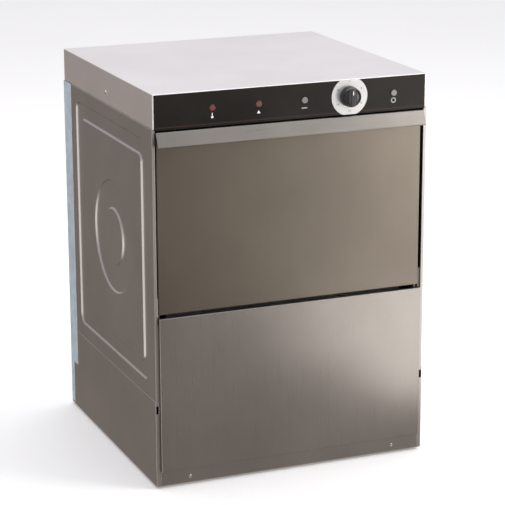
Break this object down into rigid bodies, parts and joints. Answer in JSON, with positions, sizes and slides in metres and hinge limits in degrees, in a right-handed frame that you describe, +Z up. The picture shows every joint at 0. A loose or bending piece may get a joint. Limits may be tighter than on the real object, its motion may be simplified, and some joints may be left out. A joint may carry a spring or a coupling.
{
  "type": "glass washer machine",
  "caption": "Front-loading glass washer: stainless cabinet, black control fascia with timer dial, drop-down door with full-width rail, rotating spray arms, rack, tank, pump and boiler.",
  "frame": {"origin": "on the floor, under the middle of the whole machine's outline (knob to rear fittings)", "axes": "+Z up, +X to the right as the user faces the door, -Y towards the user"},
  "size_m": [0.6, 0.625, 0.82],
  "materials": {
    "cabinet_steel": "fine brushed stainless sheet",
    "cover_steel": "satin stainless sheet",
    "door_steel": "long-grain brushed stainless sheet",
    "handle_steel": "brushed stainless rail",
    "rear_sheet": "galvanised sheet",
    "chamber_steel": "dull pickled stainless sheet",
    "fascia_black": "black satin overlay",
    "dial_silver": "satin silver disc",
    "knob_black": "moulded black plastic",
    "lens_red": "red lens",
    "lens_amber": "amber lens",
    "button_grey": "grey translucent cap",
    "screw_steel": "bright zinc-plated",
    "rubber_black": "matte black rubber",
    "hose_grey": "ribbed rubber hose",
    "spray_plastic": "glass-filled plastic",
    "spray_steel": "stainless tube",
    "filter_steel": "perforated stainless sheet",
    "rack_plastic": "blue polypropylene",
    "motor_paint": "dark painted motor shell",
    "pump_plastic": "black pump housing",
    "impeller_plastic": "natural nylon",
    "heater_alloy": "nickel-alloy sheath",
    "boiler_steel": "welded stainless vessel",
    "valve_plastic": "white nylon valve",
    "electrical_grey": "grey electrical plastic",
    "gland_black": "black nylon gland",
    "brass_stud": "brass stud and nuts",
    "spring_steel": "drawn spring wire",
    "magnet_dark": "encapsulated magnet"
  },
  "bodies": {
    "cabinet": {"base_plinth": "cabinet_steel", "side_panel_left": "cabinet_steel", "side_panel_right": "cabinet_steel", "rear_panel": "rear_sheet", "top_cover": "cover_steel", "control_fascia": "fascia_black", "dial_plate": "dial_silver", "lower_front_panel": "cabinet_steel", "front_panel_screws": "screw_steel", "cover_screws": "screw_steel", "levelling_feet": "rubber_black", "wash_chamber": "chamber_steel", "wash_tank": "chamber_steel", "door_gasket": "rubber_black", "hinge_brackets": "chamber_steel", "hinge_pins": "screw_steel", "door_springs": "spring_steel", "door_switch": "electrical_grey", "rack_guides": "chamber_steel", "lower_arm_hub": "spray_plastic", "upper_arm_hub": "spray_plastic", "tank_heater": "heater_alloy", "wash_pump_motor": "motor_paint", "wash_pump_volute": "pump_plastic", "pump_suction_hose": "hose_grey", "wash_feed_hose": "hose_grey", "wash_riser_hose": "hose_grey", "drain_pipe": "hose_grey", "boiler": "boiler_steel", "boiler_heater": "heater_alloy", "inlet_valve": "valve_plastic", "boiler_feed_hose": "hose_grey", "rinse_hoses": "hose_grey", "dosing_pumps": "electrical_grey", "control_box": "electrical_grey", "terminal_block": "electrical_grey", "timer_body": "electrical_grey", "pilot_lamp_red": "lens_red", "pilot_lamp_amber": "lens_amber", "push_switches": "electrical_grey", "cable_gland": "gland_black", "bonding_stud": "brass_stud"},
    "door": {"door_outer_skin": "door_steel", "door_inner_liner": "chamber_steel", "door_handle": "handle_steel", "door_hinge_arms": "chamber_steel", "door_magnet": "magnet_dark"},
    "timer": {"timer_knob": "knob_black", "timer_shaft": "screw_steel"},
    "start": {"start_button": "button_grey"},
    "power": {"power_button": "button_grey"},
    "lower_wash": {"lower_wash_arm": "spray_plastic"},
    "upper_wash": {"upper_wash_arm": "spray_plastic"},
    "lower_rinse": {"lower_rinse_arm": "spray_steel"},
    "upper_rinse": {"upper_rinse_arm": "spray_steel"},
    "impeller": {"pump_impeller": "impeller_plastic"},
    "standpipe": {"overflow_standpipe": "spray_plastic"},
    "rack": {"glass_rack": "rack_plastic"},
    "filter_left": {"tank_filter_left": "filter_steel"},
    "filter_right": {"tank_filter_right": "filter_steel"}
  },
  "joints": [
    {"name": "door_hinge", "type": "hinge", "parent": "cabinet", "child": "door", "pos_m": [0, -0.2735, 0.384], "axis": [1, 0, 0], "range_deg": [0, 90], "stiffness_Nm_per_rad": 3.6, "springref_deg": -17.19, "deforming": ["door_springs"]},
    {"name": "timer_turn", "type": "hinge", "parent": "cabinet", "child": "timer", "pos_m": [0.1245, -0.2925, 0.785], "axis": [0, 1, 0], "range_deg": [0, 300]},
    {"name": "start_press", "type": "slide", "parent": "cabinet", "child": "start", "axis": [0, 1, 0], "range_m": [0, 0.0025], "stiffness_N_per_m": 800, "springref_m": -0.0006},
    {"name": "power_press", "type": "slide", "parent": "cabinet", "child": "power", "axis": [0, 1, 0], "range_m": [0, 0.0025], "stiffness_N_per_m": 800, "springref_m": -0.0006},
    {"name": "lower_wash_spin", "type": "hinge", "parent": "cabinet", "child": "lower_wash", "pos_m": [0, 0.007, 0.371], "axis": [0, 0, 1], "continuous": true},
    {"name": "upper_wash_spin", "type": "hinge", "parent": "cabinet", "child": "upper_wash", "pos_m": [0, 0.007, 0.713], "axis": [0, 0, 1], "continuous": true},
    {"name": "lower_rinse_spin", "type": "hinge", "parent": "cabinet", "child": "lower_rinse", "pos_m": [0, 0.007, 0.389], "axis": [0, 0, 1], "continuous": true},
    {"name": "upper_rinse_spin", "type": "hinge", "parent": "cabinet", "child": "upper_rinse", "pos_m": [0, 0.007, 0.695], "axis": [0, 0, 1], "continuous": true},
    {"name": "impeller_spin", "type": "hinge", "parent": "cabinet", "child": "impeller", "pos_m": [0.086, 0.1075, 0.075], "axis": [1, 0, 0], "continuous": true},
    {"name": "standpipe_lift", "type": "slide", "parent": "cabinet", "child": "standpipe", "axis": [0, 0, 1], "range_m": [0, 0.045]},
    {"name": "filter_left_lift", "type": "slide", "parent": "cabinet", "child": "filter_left", "axis": [0, 0, 1], "range_m": [0, 0.02]},
    {"name": "filter_right_lift", "type": "slide", "parent": "cabinet", "child": "filter_right", "axis": [0, 0, 1], "range_m": [0, 0.02]},
    {"name": "rack_slide", "type": "slide", "parent": "cabinet", "child": "rack", "axis": [0, -1, 0], "range_m": [0, 0.018]}
  ]
}
